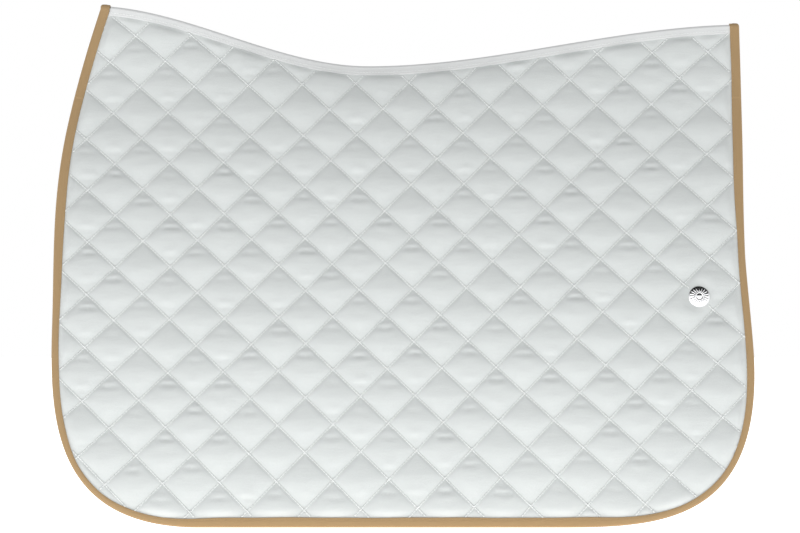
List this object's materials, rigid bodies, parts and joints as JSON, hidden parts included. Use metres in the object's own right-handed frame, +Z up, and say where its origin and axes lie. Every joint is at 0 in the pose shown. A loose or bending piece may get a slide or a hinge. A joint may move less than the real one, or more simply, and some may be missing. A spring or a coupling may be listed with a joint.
{
  "type": "saddle pad",
  "caption": "Quilted saddle pad of padded flaps joined along a curved spine, with a bound edge, a taped spine and a riveted round badge.",
  "frame": {"origin": "middle of the pad's base, on the surface that its two hems stand on", "axes": "+X from the withers end to the rear end, +Y from the left flap to the right flap, +Z up"},
  "size_m": [0.6856, 0.2452, 0.5174],
  "materials": {
    "cover_cloth": "quilted white cotton twill",
    "wadding": "soft polyester wadding",
    "lining_cloth": "quilted white cotton",
    "binding_tape": "woven tan tape",
    "spine_tape": "woven white tape",
    "binding_thread": "tan sewing thread",
    "white_thread": "white sewing thread",
    "badge_metal": "polished",
    "rivet_metal": "bright plated"
  },
  "bodies": {
    "ridge": {"left_ridge_cover": "cover_cloth", "left_ridge_wadding": "wadding", "left_ridge_lining": "lining_cloth", "right_ridge_cover": "cover_cloth", "right_ridge_wadding": "wadding", "right_ridge_lining": "lining_cloth", "front_binding": "binding_tape", "rear_binding": "binding_tape", "spine_tape": "spine_tape", "front_binding_thread": "binding_thread", "rear_binding_thread": "binding_thread", "spine_tape_thread": "white_thread", "left_ridge_quilting": "white_thread", "right_ridge_quilting": "white_thread"},
    "left_flap": {"left_flap_cover": "cover_cloth", "left_flap_wadding": "wadding", "left_flap_lining": "lining_cloth", "left_binding": "binding_tape", "left_binding_thread": "binding_thread", "left_flap_quilting": "white_thread", "badge_cap": "badge_metal", "badge_rivet": "rivet_metal", "badge_washer": "rivet_metal"},
    "right_flap": {"right_flap_cover": "cover_cloth", "right_flap_wadding": "wadding", "right_flap_lining": "lining_cloth", "right_binding": "binding_tape", "right_binding_thread": "binding_thread", "right_flap_quilting": "white_thread"}
  },
  "joints": [
    {"name": "left_flap_lift", "type": "hinge", "parent": "ridge", "child": "left_flap", "pos_m": [0, -0.035, 0.395], "axis": [-1, 0, 0], "range_deg": [-15, 120]},
    {"name": "right_flap_lift", "type": "hinge", "parent": "ridge", "child": "right_flap", "pos_m": [0, 0.035, 0.395], "axis": [1, 0, 0], "range_deg": [-15, 120]}
  ]
}
